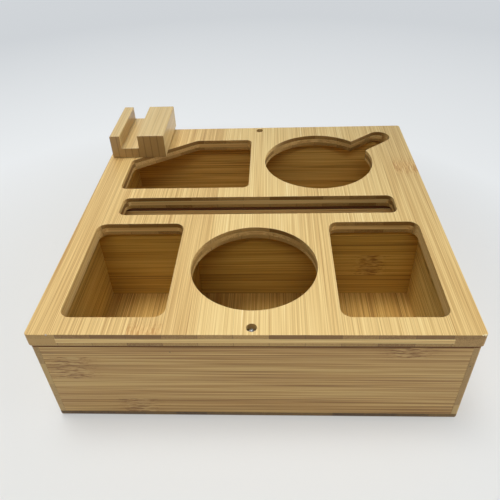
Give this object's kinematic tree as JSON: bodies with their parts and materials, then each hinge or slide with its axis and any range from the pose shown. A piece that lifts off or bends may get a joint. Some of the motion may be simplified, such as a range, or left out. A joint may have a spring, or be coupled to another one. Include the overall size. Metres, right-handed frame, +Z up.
{
  "type": "sofa armrest tray",
  "caption": "Bamboo box tray for a sofa armrest: divided wells for cups, mug, remotes and tablet under a cut-out top plate, with a swivelling phone holder at the rear left corner.",
  "frame": {"origin": "centre of the underside of the floor board", "axes": "+Z up from the underside to the top plate; +X to the right of a user in front of the tray; +Y to the rear, towards the edge that the phone holder overhangs"},
  "size_m": [0.3, 0.307, 0.1152],
  "materials": {
    "bamboo_plate": "satin lacquered flat-sawn bamboo ply",
    "bamboo_board": "satin lacquered edge-grain bamboo",
    "bamboo_side": "satin lacquered edge-grain bamboo",
    "bamboo_floor": "satin lacquered bamboo ply",
    "bamboo_divider": "sanded edge-grain bamboo",
    "bamboo_holder": "sanded laminated bamboo bar",
    "steel_screw": "bright zinc plated",
    "steel_washer": "zinc plated",
    "brass_insert": "turned brass"
  },
  "bodies": {
    "tray": {"top_plate": "bamboo_plate", "front_board": "bamboo_board", "back_board": "bamboo_board", "left_side_board": "bamboo_side", "right_side_board": "bamboo_side", "floor_board": "bamboo_floor", "slot_front_divider": "bamboo_divider", "slot_rear_divider": "bamboo_divider", "cup_divider_left": "bamboo_divider", "cup_divider_right": "bamboo_divider", "rear_middle_divider": "bamboo_divider", "plate_screw_front": "steel_screw", "plate_screw_back": "steel_screw", "pivot_flat_washer": "steel_washer"},
    "phone_holder": {"holder_channel": "bamboo_holder", "holder_insert": "brass_insert", "pivot_screw": "steel_screw", "pivot_spring_washer": "steel_washer"}
  },
  "joints": [
    {"name": "holder_swivel", "type": "hinge", "parent": "tray", "child": "phone_holder", "pos_m": [-0.1197, 0.122, 0.0916], "axis": [0, 0, 1], "continuous": true}
  ]
}
